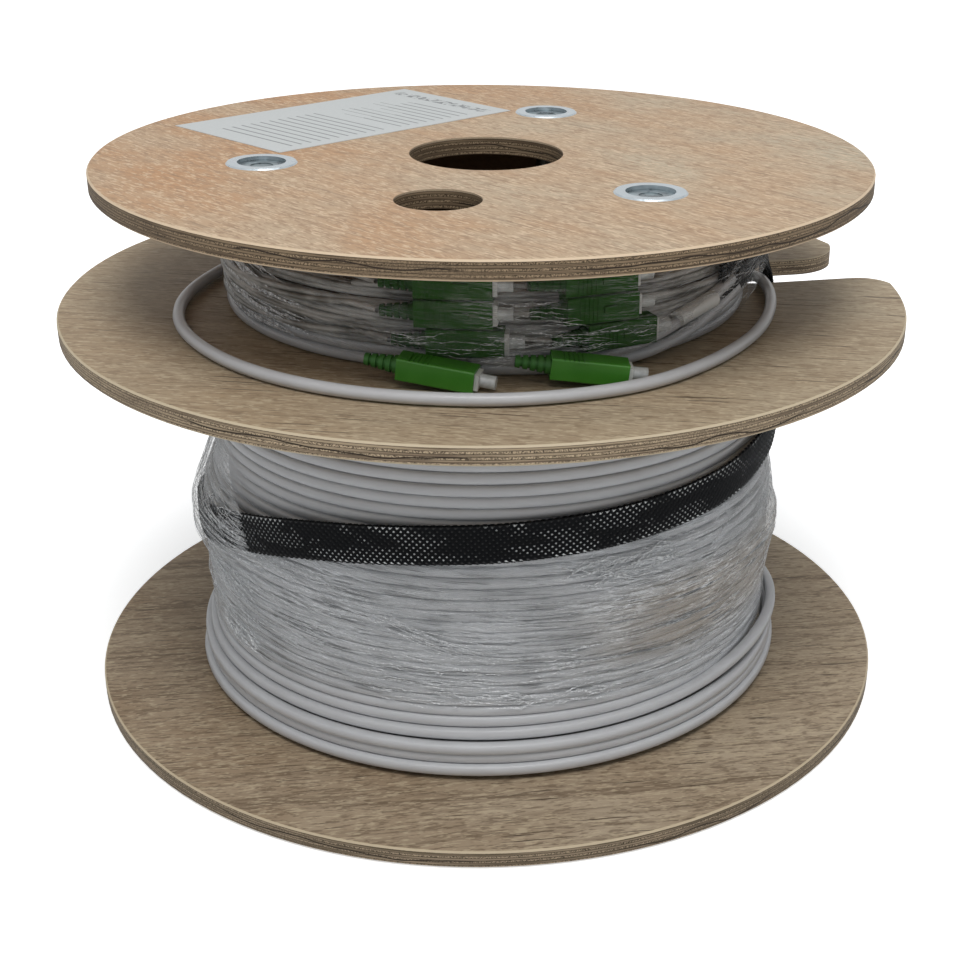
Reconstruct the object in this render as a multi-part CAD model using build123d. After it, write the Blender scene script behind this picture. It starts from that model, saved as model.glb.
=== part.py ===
"""Plywood drum with two compartments: a long winding of white cable below, and above it the
cable's fan-out legs with their plugs. Millimetres, +Z up, origin at the foot of the axis."""

from build123d import *

import os
from math import atan2, cos, degrees, hypot, pi, radians, sin, tan

# Flanges and core tubes
flange_diameter = 312.0
top_flange_diameter = 280.0
ply_thickness = 6.5
rim_chamfer = 0.6
lower_traverse = 138.0
upper_traverse = 44.0
barrel_diameter = 180.0
barrel_wall = 3.0
groove_depth = 1.5
groove_clearance = 0.2
cut_margin = 1.0

# Holes in the flanges
spindle_bore_diameter = 56.0
drive_hole_diameter = 29.0
drive_hole_offset = 71.6
drive_hole_angle = -95.5
slot_width = 29.0
slot_angle = 17.9
slot_root_radius = 90.0
slot_near_corner_radius = 12.0
slot_far_corner_radius = 22.0

# Tie rods and the flanged nuts that close them
tie_count = 3
tie_first_angle = -40.5
rod_diameter = 8.0
rod_gap = 2.3
rod_clearance = 0.5
nut_sleeve_diameter = 10.0
nut_sleeve_length = 4.0
nut_flange_diameter = 25.0
nut_flange_thickness = 2.2
nut_proud = 0.5
nut_rim_chamfer = 0.5
nut_dish_diameter = 17.0
nut_dish_depth = 1.4
rod_end_below_dish = 0.2
press_clearance = 0.02

# Paper label
label_length = 117.0
label_width = 65.5
label_thickness = 0.2
label_centre = (-62.3, 55.3)
label_turn = 51.0

# Cable and its winding
cable_diameter = 4.2
winding_clearance = 0.2
winding_top_clearance = 0.3
winding_foot_depth = 20.2
winding_belly_depth = 21.2
winding_head_depth = 18.6
loose_turn_depths = (27.0, 24.6, 26.0, 22.6)
turn_groove_share = 0.36
turn_crown_share = 0.2
turns_between_grooves = 4
grooved_layers = 4

# Fan-out bundle
bundle_depth = 6.0
bundle_height = 28.0
bundle_shoulder = 4.5

# Clear film round each winding
film_thickness = 0.4
film_clearance = 0.5
film_slack = 0.1
lower_film_foot = 31.0
lower_film_head = 72.0
lower_film_slant = 20.0
lower_film_high_angle = -30.0
upper_film_foot = 11.3
upper_film_head = 37.5

# Flattened braided sleeve: angle in degrees, share of the way from the bundle's face out to the
# winding's, and height of its middle line above the middle flange
sleeve_width = 15.0
sleeve_thickness = 2.2
sleeve_clearance = 1.0
sleeve_station_count = 34
sleeve_route = (
    (-200.0, 1.0, -89.0),
    (-175.0, 1.0, -85.0),
    (-152.0, 1.0, -76.0),
    (-134.0, 1.0, -67.0),
    (-117.0, 1.0, -59.5),
    (-98.0, 1.0, -54.5),
    (-78.0, 1.0, -52.0),
    (-58.0, 1.0, -50.0),
    (-38.0, 1.0, -47.5),
    (-20.0, 1.0, -43.5),
    (-6.0, 1.0, -36.0),
    (7.0, 1.0, -25.0),
    (14.5, 1.0, -13.0),
    (17.5, 0.97, -2.0),
    (15.5, 0.75, 9.0),
    (7.0, 0.39, 17.5),
    (-5.0, 0.08, 20.5),
    (-17.0, 0.03, 20.0),
    (-29.0, 0.03, 18.0),
)

# Cable that crosses from one compartment to the other and lies on the middle flange
crossing_height = 0.2
crossing_route = (
    (95.5, 34.0, -4.6),
    (99.6, 24.0, 1.6),
    (104.0, 12.5, 2.9),
    (106.7, -7.2, 2.3),
    (103.6, -36.5, 2.3),
    (95.2, -61.6, 2.3),
    (81.4, -85.6, 2.3),
    (62.8, -106.2, 2.3),
    (37.6, -119.1, 2.3),
    (12.9, -125.2, 2.3),
    (-18.3, -124.4, 2.3),
    (-45.5, -116.9, 2.3),
    (-69.0, -102.8, 2.3),
    (-88.1, -82.6, 2.3),
    (-101.3, -59.8, 2.3),
    (-107.2, -32.0, 2.3),
    (-104.6, -4.0, 2.3),
    (-97.4, 21.5, 2.3),
    (-85.6, 50.6, 2.3),
)

# Blunt-ended tube in which the fan-out legs part from the cable: its ends as angle and height
# above the middle flange, and its least distance from the bundle
breakout_diameter = 5.6
breakout_ends = ((-43.7, 12.5), (-32.1, 15.5))
breakout_clearance = 0.8

# Plug: housing, inner plug body, boot and dust cap
housing_length = 24.9
housing_width = 9.0
housing_depth = 7.4
housing_wall = 1.0
housing_fillet = 0.7
grip_groove_count = 5
grip_groove_pitch = 1.5
grip_groove_width = 0.6
grip_groove_depth = 0.3
grip_groove_start = 4.0
key_length = 5.0
key_width = 2.0
key_height = 0.8
key_offset = 2.5
key_seat = 0.01
plug_clearance = 0.15
plug_front = 1.4
plug_set_back = 4.0
ferrule_diameter = 2.5
ferrule_length = 2.8
boot_length = 12.0
boot_root_diameter = 6.2
boot_tip_diameter = 3.6
boot_ring_count = 5
boot_ring_gap = 0.9
boot_ring_depth = 0.6
boot_inset = 3.0
boot_spigot_diameter = 5.0
cap_diameter = 4.4
cap_length = 5.0
cap_end_wall = 1.8
plug_radius_clearance = 0.4

# Plugs in the film: angle in degrees and height above the middle flange, in two columns
row_angles = ((-88.9, -62.4), (-88.9, -62.0), (-86.9, -58.0))
row_heights = (31.6, 22.2, 12.8)
# Plugs that lie free on the middle flange: angle, distance of the middle from the bundle, turn
# away from the tangent and downward tilt
free_plugs = ((-91.2, 13.6, -3.8, 7.0), (-66.1, 14.4, -14.9, 7.0))
free_plug_lift = 0.3

# Heights that follow from the stack
bottom_face = 0.0
lower_floor = ply_thickness
lower_ceiling = lower_floor + lower_traverse
upper_floor = lower_ceiling + ply_thickness
upper_ceiling = upper_floor + upper_traverse
top_face = upper_ceiling + ply_thickness

# Radii that follow from the core tubes
barrel_radius = barrel_diameter / 2
tie_radius = barrel_radius - barrel_wall - rod_gap - rod_diameter / 2
tie_angles = [tie_first_angle + 360 * k / tie_count for k in range(tie_count)]
winding_bore = barrel_radius + winding_clearance
winding_foot_radius = barrel_radius + winding_foot_depth
winding_belly_radius = barrel_radius + winding_belly_depth
winding_head_radius = barrel_radius + winding_head_depth
bundle_radius = barrel_radius + bundle_depth
cable_radius = cable_diameter / 2


def at_angle(radius, angle, height=0.0):
    """Point on a circle round the drum's axis."""
    return Vector(radius * cos(radians(angle)), radius * sin(radians(angle)), height)


def disc(radius, low, high):
    """Upright cylinder on the drum's axis, from one height to another."""
    return Pos(0, 0, low) * Cylinder(
        radius, high - low, align=(Align.CENTER, Align.CENTER, Align.MIN)
    )


def ring(outer, inner, low, high):
    """Upright tube on the drum's axis."""
    return disc(outer, low, high) - disc(inner, low - cut_margin, high + cut_margin)


def barrel_groove(mouth, depth_sign):
    """Round groove that one end of a core tube sits in."""
    low, high = sorted((mouth, mouth + depth_sign * groove_depth))
    outer = barrel_radius + groove_clearance
    inner = barrel_radius - barrel_wall - groove_clearance
    return ring(outer, inner, low, high)


def flange(diameter, low):
    """Plywood disc with eased rims, a spindle bore and the tie rods' holes."""
    plate = disc(diameter / 2, low, low + ply_thickness)
    plate = chamfer(plate.edges().filter_by(GeomType.CIRCLE), rim_chamfer)
    plate -= through_hole(spindle_bore_diameter, low)
    for angle in tie_angles:
        hole = through_hole(rod_diameter + 2 * rod_clearance, low)
        plate -= Pos(at_angle(tie_radius, angle)) * hole
    return plate


def through_hole(diameter, low):
    """Cylinder that cuts right through a flange whose underside is at low."""
    return disc(diameter / 2, low - cut_margin, low + ply_thickness + cut_margin)


def drive_hole(low):
    """Hole for the driving pin, through a flange whose underside is at low."""
    hole = through_hole(drive_hole_diameter, low)
    return Pos(at_angle(drive_hole_offset, drive_hole_angle)) * hole


def nut_seat(face, inward):
    """Stepped hole for a flanged nut, sunk from an outer face of the drum."""
    sunk = nut_flange_thickness - (nut_proud if inward < 0 else 0)
    seat = stepped(face, inward, sunk, nut_flange_diameter / 2 + press_clearance)
    sleeve_end = sunk + nut_sleeve_length
    seat += stepped(face, inward, sleeve_end, nut_sleeve_diameter / 2 + press_clearance)
    return seat


def stepped(face, inward, depth, radius):
    """Cylinder from just outside a face to a depth inside it."""
    low, high = sorted((face - inward * cut_margin, face + inward * depth))
    return disc(radius, low, high)


def slot_cutter():
    """The slot as a solid: a round-ended channel and two rounded corners at the rim."""
    half = slot_width / 2
    rim = flange_diameter / 2
    low = lower_ceiling - cut_margin
    height = ply_thickness + 2 * cut_margin
    start = slot_root_radius + half
    channel = Pos((start + rim + half) / 2, 0, low) * Box(
        rim + half - start, slot_width, height, align=(Align.CENTER, Align.CENTER, Align.MIN)
    )
    channel += Pos(start, 0, low) * disc(half, 0, height)
    for side, radius in ((1, slot_far_corner_radius), (-1, slot_near_corner_radius)):
        corner_x = (rim**2 - (half + radius) ** 2) ** 0.5 - radius
        corner_y = side * (half + radius)
        wedge = Pos(corner_x + rim / 2, side * (half + radius / 2), low) * Box(
            rim, radius, height, align=(Align.CENTER, Align.CENTER, Align.MIN)
        )
        corner = disc(radius, low - cut_margin, low + height + cut_margin)
        wedge -= Pos(corner_x, corner_y) * corner
        channel += wedge
    return Rot(0, 0, slot_angle) * channel


def bottom_flange():
    plate = flange(flange_diameter, bottom_face) - drive_hole(bottom_face)
    plate -= barrel_groove(lower_floor, -1)
    for angle in tie_angles:
        plate -= Pos(at_angle(tie_radius, angle)) * nut_seat(bottom_face, 1)
    return plate


def middle_flange():
    plate = flange(flange_diameter, lower_ceiling)
    plate -= barrel_groove(lower_ceiling, 1)
    plate -= barrel_groove(upper_floor, -1)
    return plate - slot_cutter()


def top_flange():
    plate = flange(top_flange_diameter, upper_ceiling) - drive_hole(upper_ceiling)
    plate -= barrel_groove(upper_ceiling, 1)
    for angle in tie_angles:
        plate -= Pos(at_angle(tie_radius, angle)) * nut_seat(top_face, -1)
    return plate


def barrel(floor, ceiling):
    """Core tube, its ends sitting on the floors of the flanges' grooves."""
    low = floor - groove_depth
    high = ceiling + groove_depth
    return ring(barrel_radius, barrel_radius - barrel_wall, low, high)


def nut(face, inward):
    """Flanged nut: a dished disc with a sleeve that the rod's end screws into."""
    proud = nut_proud if inward < 0 else 0
    outer_face = face - inward * proud
    flange_end = outer_face + inward * nut_flange_thickness
    sleeve_end = flange_end + inward * nut_sleeve_length
    body = disc(nut_flange_diameter / 2, *sorted((outer_face, flange_end)))
    rim = body.edges().filter_by(GeomType.CIRCLE).sort_by(Axis.Z)[0 if inward > 0 else -1]
    body = chamfer(rim, nut_rim_chamfer)
    body += disc(nut_sleeve_diameter / 2, *sorted((flange_end, sleeve_end)))
    dish_floor = outer_face + inward * nut_dish_depth
    mouth = outer_face - inward * cut_margin
    body -= disc(nut_dish_diameter / 2, *sorted((mouth, dish_floor)))
    body -= disc(rod_diameter / 2, *sorted((mouth, sleeve_end + inward * cut_margin)))
    return body


def tie_rod():
    """Rod through all three flanges, its ends a little below the nuts' dished floors."""
    low = bottom_face + nut_dish_depth + rod_end_below_dish
    high = top_face + nut_proud - nut_dish_depth - rod_end_below_dish
    return disc(rod_diameter / 2 - press_clearance, low, high)


def label():
    sheet = Pos(*label_centre, top_face) * Rot(0, 0, label_turn) * Box(
        label_length, label_width, label_thickness, align=(Align.CENTER, Align.CENTER, Align.MIN)
    )
    return sheet


def lower_winding():
    """The wound cable as one turned body: loose turns at its foot, then a shallow belly.

    Its outer face is grooved between turns, and both its ends between layers."""
    foot = lower_floor
    top = lower_ceiling - winding_top_clearance
    loose_top = foot + len(loose_turn_depths) * cable_diameter
    root_depth = turn_groove_share * cable_diameter
    crown = turn_crown_share * cable_diameter
    half_groove = cable_radius - crown
    layers = [winding_bore + k * cable_diameter for k in range(1, grooved_layers + 1)]

    def face_radius(height):
        """Radius of the belly, a parabola through its foot, middle and head."""
        share = (height - loose_top) / (top - loose_top)
        at_foot = winding_foot_radius * (1 - share) * (1 - 2 * share)
        at_middle = winding_belly_radius * 4 * share * (1 - share)
        at_head = winding_head_radius * share * (2 * share - 1)
        return at_foot + at_middle + at_head

    def end_face(height, inward):
        """Points of an end from the bore outwards, a ridge for each layer."""
        points = [(winding_bore, height)]
        for radius in layers:
            points.append((radius - cable_radius, height))
            points.append((radius, height + inward * root_depth))
        return points

    outline = end_face(foot, 1)
    outline.append((winding_foot_radius, foot))
    for turn, depth in enumerate(loose_turn_depths):
        radius = barrel_radius + depth
        low = foot + turn * cable_diameter
        outline.append((radius - root_depth, low))
        outline.append((radius, low + half_groove))
        outline.append((radius, low + cable_diameter - half_groove))
        outline.append((radius - root_depth, low + cable_diameter))
    outline.append((winding_foot_radius, loose_top))
    spacing = turns_between_grooves * cable_diameter
    groove = loose_top + spacing
    while groove + half_groove < top:
        outline.append((face_radius(groove - half_groove), groove - half_groove))
        outline.append((face_radius(groove) - root_depth, groove))
        outline.append((face_radius(groove + half_groove), groove + half_groove))
        groove += spacing
    outline.append((winding_head_radius, top))
    outline += reversed(end_face(top, -1))
    with BuildSketch(Plane.XZ) as section:
        with BuildLine():
            Polyline(*outline, close=True)
        make_face()
    return revolve(section.sketch, Axis.Z)


def upper_winding():
    """Bundle of thin legs round the upper core tube, its shoulder sloped."""
    body = ring(bundle_radius, winding_bore, upper_floor, upper_floor + bundle_height)
    top_edge = body.edges().filter_by(GeomType.CIRCLE).sort_by(Axis.Z)[-2:]
    return chamfer(top_edge.sort_by(SortBy.RADIUS)[-1], bundle_shoulder)


def sleeve_sections():
    """Corners of the band at each station: outer edge pair first, then the pair below it."""
    standoff = sleeve_thickness / 2 + sleeve_clearance
    inner = bundle_radius + standoff
    outer = winding_belly_radius + standoff
    points = [
        at_angle(inner + share * (outer - inner), angle, upper_floor + height)
        for angle, share, height in sleeve_route
    ]
    path = Spline(*points)
    for station in range(sleeve_station_count):
        share = station / (sleeve_station_count - 1)
        place = path @ share
        along = path % share
        outward = Vector(place.X, place.Y, 0)
        across = along.cross(outward).normalized() * (sleeve_width / 2)
        away = across.cross(along).normalized() * (sleeve_thickness / 2)
        yield (
            place + across + away,
            place - across + away,
            place - across - away,
            place + across - away,
        )


def braided_sleeve():
    """Flat band laid round the winding and up through the slot, straight between stations."""
    sections = [Wire.make_polygon(corners, close=True) for corners in sleeve_sections()]
    return Solid.make_loft(sections, ruled=True)


def lower_film():
    """Clear film round the lower winding, its upper edge below the sleeve all the way."""
    inner = winding_belly_radius + film_clearance
    high = lower_film_head + 2 * lower_film_slant
    tube = ring(inner + film_thickness, inner, lower_film_foot, high)
    tilt = degrees(atan2(lower_film_slant, inner))
    edge = Pos(0, 0, lower_film_head) * Rot(0, 0, lower_film_high_angle) * Rot(0, -tilt, 0)
    above = edge * Box(
        4 * inner, 4 * inner, 2 * inner, align=(Align.CENTER, Align.CENTER, Align.MIN)
    )
    return tube - above


def plug_places():
    """Where each plug sits: two columns held by the film, then the two free ones."""
    outward = bundle_radius + plug_radius_clearance + housing_depth / 2
    places = []
    for angles, height in zip(row_angles, row_heights):
        for angle in angles:
            middle = at_angle(outward, angle, upper_floor + height)
            places.append(Pos(middle) * Rot(0, 0, angle + 90))
    for angle, distance, turn, tilt in free_plugs:
        rise = housing_depth / 2 * cos(radians(tilt)) + housing_length / 2 * sin(radians(tilt))
        height = upper_floor + free_plug_lift + rise
        middle = at_angle(bundle_radius + distance, angle, height)
        places.append(Pos(middle) * Rot(0, 0, angle + 90 + turn) * Rot(0, tilt, 0) * Rot(90, 0, 0))
    return places


def housing():
    """Sliding outer shell of a plug, mating end towards +X, its broad side upright."""
    body = Box(housing_length, housing_depth, housing_width)
    body = fillet(body.edges().filter_by(Axis.X), housing_fillet)
    grip_start = -housing_length / 2 + grip_groove_start
    for groove in range(grip_groove_count):
        x = grip_start + groove * grip_groove_pitch
        for side in (1, -1):
            y = side * (housing_depth / 2 - grip_groove_depth / 2)
            body -= Pos(x, y, 0) * Box(grip_groove_width, grip_groove_depth, housing_width)
    key = Box(key_length, key_height, key_width, align=(Align.CENTER, Align.MAX, Align.CENTER))
    body += Pos(key_offset, key_seat - housing_depth / 2, 0) * key
    bore_depth = housing_depth - 2 * housing_wall
    bore_width = housing_width - 2 * housing_wall
    return body - Box(housing_length + 2 * cut_margin, bore_depth, bore_width)


def plug_body():
    """Inner body that carries the ferrule, a little longer than the shell at the front."""
    depth = housing_depth - 2 * (housing_wall + plug_clearance)
    width = housing_width - 2 * (housing_wall + plug_clearance)
    back = -housing_length / 2 + plug_set_back
    front = housing_length / 2 + plug_front
    body = Pos(back, 0, 0) * Box(
        front - back, depth, width, align=(Align.MIN, Align.CENTER, Align.CENTER)
    )
    tip = Rot(0, 90, 0) * Cylinder(
        ferrule_diameter / 2, ferrule_length, align=(Align.CENTER, Align.CENTER, Align.MIN)
    )
    return body + Pos(front, 0, 0) * tip


def dust_cap():
    """Clear cap over the ferrule, its open end against the plug body."""
    front = housing_length / 2 + plug_front
    cap = Cylinder(cap_diameter / 2, cap_length, align=(Align.CENTER, Align.CENTER, Align.MIN))
    cap -= Cylinder(
        ferrule_diameter / 2 + plug_clearance,
        cap_length - cap_end_wall,
        align=(Align.CENTER, Align.CENTER, Align.MIN),
    )
    return Pos(front, 0, 0) * Rot(0, 90, 0) * cap


def boot():
    """Tapered boot with rings, from inside the shell to the leg that it guards."""
    root = boot_root_diameter / 2
    tip = boot_tip_diameter / 2
    pitch = boot_length / boot_ring_count

    def radius_at(distance):
        return root + (tip - root) * distance / boot_length

    spigot = boot_spigot_diameter / 2
    outline = [(0, -boot_inset), (spigot, -boot_inset), (spigot, 0)]
    for ring_index in range(boot_ring_count):
        start = ring_index * pitch
        end = start + pitch - boot_ring_gap
        outline += [(radius_at(start), start), (radius_at(end), end)]
        if ring_index < boot_ring_count - 1:
            outline += [
                (radius_at(end) - boot_ring_depth, end),
                (radius_at(start + pitch) - boot_ring_depth, start + pitch),
            ]
    outline += [(radius_at(boot_length - boot_ring_gap) - boot_ring_depth, boot_length - boot_ring_gap)]
    outline += [(0, boot_length - boot_ring_gap)]
    points = [outline[0]]
    for point in outline[1:]:
        if point != points[-1]:
            points.append(point)
    with BuildSketch(Plane.XZ) as section:
        with BuildLine():
            Polyline(*points, close=True)
        make_face()
    body = revolve(section.sketch, Axis.Z)
    return Pos(-housing_length / 2, 0, 0) * Rot(0, -90, 0) * body


def tube_along(points, diameter, name):
    """Round cord along straight runs joined by arcs as large as the runs allow."""
    places = [Vector(*point) for point in points]
    arcs = []
    for before, here, after in zip(places, places[1:], places[2:]):
        turn = (here - before).get_angle(after - here)
        shorter = min((here - before).length, (after - here).length)
        arcs.append(0.45 * shorter / tan(radians(turn / 2)))
    path = FilletPolyline(*places, radius=arcs)
    start = Plane(origin=path @ 0, z_dir=path % 0)
    cord = sweep(start * Circle(diameter / 2), path=path)
    length = path.length
    section = pi * diameter**2 / 4
    print(name, "arc radii", [round(arc, 1) for arc in arcs])
    print(name, "length", round(length, 1), "volume share", round(cord.volume / (section * length), 4))
    return cord


def crossing_cable():
    points = [(x, y, upper_floor + height + crossing_height) for x, y, height in crossing_route]
    return tube_along(points, cable_diameter, "crossing_cable")


def breakout_places():
    """The tube's two ends on its middle line, both this far outside the bundle."""
    middle = bundle_radius + breakout_clearance + breakout_diameter / 2
    return [at_angle(middle, angle, upper_floor + height) for angle, height in breakout_ends]


def breakout_tube():
    """Straight sleeve with a rounded free end."""
    start, end = breakout_places()
    body = Cylinder(
        breakout_diameter / 2,
        (end - start).length,
        align=(Align.CENTER, Align.CENTER, Align.MIN),
    )
    body = fillet(body.edges().filter_by(GeomType.CIRCLE).sort_by(Axis.Z)[-1], breakout_diameter / 5)
    return Plane(origin=start, z_dir=end - start) * body


def film_corners():
    """Points in plan that the upper film is stretched over, apart from the bundle itself."""
    face = bundle_radius + plug_radius_clearance + housing_depth
    middle = face - housing_depth / 2
    corners = []
    for angle in {angle for pair in row_angles for angle in pair}:
        back = -housing_length / 2 - boot_length
        front = housing_length / 2 + plug_front + cap_length
        for along, out in (
            (back, middle + boot_tip_diameter / 2),
            (-housing_length / 2, face + key_height),
            (housing_length / 2, face + key_height),
            (front, middle + cap_diameter / 2),
        ):
            corners.append((Rot(0, 0, angle + 90) * Pos(along, -out, 0)).position)
    sections = list(sleeve_sections())
    for before, section in zip(sections, sections[1:]):
        if max(corner.Z for corner in section) > upper_floor + upper_film_foot:
            corners += [*before, *section]
    for end in breakout_places():
        reach = hypot(end.X, end.Y)
        corners.append(end * ((reach + breakout_diameter / 2) / reach))
    return corners


def taut_corners(points):
    """Corners in plan of a band stretched round the points, straight runs left straight."""

    def side(spots):
        kept = []
        for spot in spots:
            if kept and (spot - kept[-1]).length < film_slack:
                continue
            while len(kept) > 1:
                run = spot - kept[-2]
                if run.cross(kept[-1] - kept[-2]).Z / run.length < -film_slack:
                    break
                kept.pop()
            kept.append(spot)
        return kept[:-1]

    spots = sorted((Vector(point.X, point.Y) for point in points), key=lambda spot: spot.X)
    return side(spots) + side(spots[::-1])


def film_outline(clearance):
    """Plan outline of the upper film, this far outside all that it is stretched over."""
    with BuildSketch() as around:
        Circle(bundle_radius + clearance)
        for corner in taut_corners(film_corners()):
            with Locations((corner.X, corner.Y)):
                Circle(clearance)
    return make_hull(around.sketch.edges())


def upper_film():
    """Clear film pulled tight over the bundle, the plugs held against it and the sleeve's end."""
    wall = film_outline(film_clearance + film_thickness) - film_outline(film_clearance)
    return extrude(Pos(0, 0, upper_floor + upper_film_foot) * wall, upper_film_head - upper_film_foot)


def write(name, shape):
    shape.label = name
    export_step(shape, os.path.join("parts", name + ".step"))


os.makedirs("parts", exist_ok=True)
write("bottom_flange", bottom_flange())
write("middle_flange", middle_flange())
write("top_flange", top_flange())
write("lower_barrel", barrel(lower_floor, lower_ceiling))
write("upper_barrel", barrel(upper_floor, upper_ceiling))
for index, angle in enumerate(tie_angles, 1):
    place = Pos(at_angle(tie_radius, angle))
    write(f"tie_rod_{index}", place * tie_rod())
    write(f"top_nut_{index}", place * nut(top_face, -1))
    write(f"bottom_nut_{index}", place * nut(bottom_face, 1))
write("label", label())
write("lower_winding", lower_winding())
write("upper_winding", upper_winding())
write("braided_sleeve", braided_sleeve())
write("lower_film", lower_film())
write("upper_film", upper_film())
write("crossing_cable", crossing_cable())
write("breakout_tube", breakout_tube())
for index, place in enumerate(plug_places(), 1):
    write(f"plug_{index}_housing", place * housing())
    write(f"plug_{index}_body", place * plug_body())
    write(f"plug_{index}_boot", place * boot())
    write(f"plug_{index}_cap", place * dust_cap())
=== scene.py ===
"""Looks of the wooden cable drum: finishes of the solids, and the wound cable, its film, its
braided sleeve and its legs as meshes. Metres, +Z up, origin at the foot of the drum's axis."""

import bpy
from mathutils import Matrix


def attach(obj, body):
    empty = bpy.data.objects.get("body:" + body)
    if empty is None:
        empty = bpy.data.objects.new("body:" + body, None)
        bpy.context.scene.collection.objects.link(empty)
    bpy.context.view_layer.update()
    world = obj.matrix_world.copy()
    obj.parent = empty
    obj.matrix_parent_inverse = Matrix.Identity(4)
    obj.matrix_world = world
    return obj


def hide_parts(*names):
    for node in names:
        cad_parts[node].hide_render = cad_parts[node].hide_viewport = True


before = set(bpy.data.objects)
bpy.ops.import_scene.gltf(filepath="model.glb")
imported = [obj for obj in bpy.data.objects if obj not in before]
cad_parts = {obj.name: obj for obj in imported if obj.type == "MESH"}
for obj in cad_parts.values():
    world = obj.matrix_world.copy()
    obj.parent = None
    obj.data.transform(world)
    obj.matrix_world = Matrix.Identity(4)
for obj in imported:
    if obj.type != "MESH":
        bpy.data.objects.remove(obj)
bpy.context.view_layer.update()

from math import cos, pi, radians, sin

import bpy
import numpy as np
from mathutils import Matrix, Vector
from mathutils.geometry import convex_hull_2d

mm = 0.001
body = "root"

# Heights and radii of the solids
ply_thickness = 6.5 * mm
lower_floor = 6.5 * mm
lower_ceiling = 144.5 * mm
upper_floor = 151.0 * mm
upper_ceiling = 195.0 * mm
top_face = 201.5 * mm
flange_radius = 156.0 * mm
bundle_radius = 96.0 * mm

# Cable and its winding
cable_radius = 2.1 * mm
cable_pitch = 4.2 * mm
# Outer radius of the tight turns by height
winding_profile = ((23.3, 110.2), (50.0, 111.0), (84.0, 111.2), (115.0, 110.6), (144.5, 108.6))
# Outer radius of the loose turns at the foot, by the number of turns from the cable's start
loose_turns = ((0.0, 110.0), (0.3, 117.0), (1.5, 114.6), (2.5, 116.0), (3.5, 112.6), (4.6, 110.6))
# Where the upper turns lie further in: middle angle, half width, depth, and the heights between
# which the depth grows
drawn_in = ((-175.0, 50.0, 7.5, 78.0, 100.0), (0.0, 35.0, 2.6, 72.0, 97.0))

# Flattened braided sleeve: angle in degrees, radius and height of its middle line. It lies on the
# winding for the first rows, turns up through the slot and lies down on the leg bundle.
sleeve_route = (
    (-200.0, 113.3, 62.0), (-175.0, 113.3, 66.0), (-152.0, 113.3, 75.0), (-134.0, 113.3, 84.0),
    (-117.0, 113.3, 91.5), (-98.0, 113.3, 96.5), (-78.0, 113.3, 99.0), (-58.0, 113.3, 101.0),
    (-38.0, 113.0, 103.5), (-20.0, 112.2, 107.5), (-6.0, 111.3, 115.0), (7.0, 111.0, 126.0),
    (14.5, 111.2, 138.0), (17.5, 111.4, 149.0), (15.5, 108.8, 160.0), (7.0, 104.0, 168.5),
    (-5.0, 99.4, 171.5), (-17.0, 98.6, 171.0), (-29.0, 98.6, 169.0),
)
sleeve_rows_on_winding = 12
sleeve_first_row_on_bundle = 14
sleeve_half_width = 7.4 * mm
sleeve_half_thickness = 0.85 * mm
braid_carriers = 13
braid_ribbon_half_width = 0.52 * mm
braid_crimp = 0.16 * mm

# Cable on the middle flange: x, y and height above that flange, as in the solids
crossing_route = (
    (95.5, 34.0, -4.6), (99.6, 24.0, 1.6), (104.0, 12.5, 2.9), (106.7, -7.2, 2.3),
    (103.6, -36.5, 2.3), (95.2, -61.6, 2.3), (81.4, -85.6, 2.3), (62.8, -106.2, 2.3),
    (37.6, -119.1, 2.3), (12.9, -125.2, 2.3), (-18.3, -124.4, 2.3), (-45.5, -116.9, 2.3),
    (-69.0, -102.8, 2.3), (-88.1, -82.6, 2.3), (-101.3, -59.8, 2.3), (-107.2, -32.0, 2.3),
    (-104.6, -4.0, 2.3), (-97.4, 21.5, 2.3), (-85.6, 50.6, 2.3),
)
crossing_lift = 0.2

# Plugs: angle of each one's middle and its height above the middle flange
row_plugs = (
    (-88.9, 31.6), (-62.4, 31.6), (-88.9, 22.2), (-62.0, 22.2), (-86.9, 12.8), (-58.0, 12.8),
)
plug_middle_radius = 100.1 * mm
plug_back = 24.4 * mm
# Outline of a plug in plan: place along its length and distance from the drum's axis
plug_outline = ((-24.4, 102.2), (-12.5, 105.2), (12.5, 105.2), (18.6, 102.6))
# Way of a leg behind its boot: length, distance from the axis, and fall
lead_way = ((10, 98.4, 0.3), (22, 98.0, 1.2), (38, 97.4, 2.5), (58, 95.5, 4.0))
# Ways of the cable from the sleeve's end to the foot of the bundle: angle, radius and height
run_in_routes = (
    ((-24, 98.4, 169.5), (-34, 98.8, 166.5), (-46, 98.9, 161.0),
     (-58, 98.6, 156.6), (-72, 97.6, 155.2), (-86, 96.0, 156.0)),
    ((-20, 97.9, 164.5), (-32, 98.6, 161.4), (-44, 98.8, 156.4),
     (-56, 98.4, 153.6), (-70, 97.8, 153.2), (-84, 96.6, 153.4)),
)

# Label
label_centre = (-62.3 * mm, 55.3 * mm)
label_turn = radians(51.0)

# Edges of the lower film: angle in degrees and height
film_foot = (
    (-180, 27.0), (-152, 28.4), (-143, 30.6), (-133, 32.7), (-121, 33.8), (-110, 34.9),
    (-81, 34.9), (-70, 33.9), (-59, 32.0), (-45, 29.7), (-32, 26.3), (-17, 23.2), (0, 22.6),
    (40, 24.5), (90, 27.0), (140, 28.0), (180, 27.0),
)
film_head = (
    (-180, 136.0), (-165, 135.5), (-158, 130.0), (-150, 118.0), (-143, 107.0), (-136, 97.0),
    (-130, 88.5), (-118, 84.8), (-103, 88.7), (-85, 90.6), (-71, 92.4), (-56, 94.8), (-43, 96.8),
    (-27, 97.8), (-12, 100.0), (0, 102.0), (20, 104.0), (60, 110.0), (100, 120.0), (140, 131.0),
    (180, 136.0),
)

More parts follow.
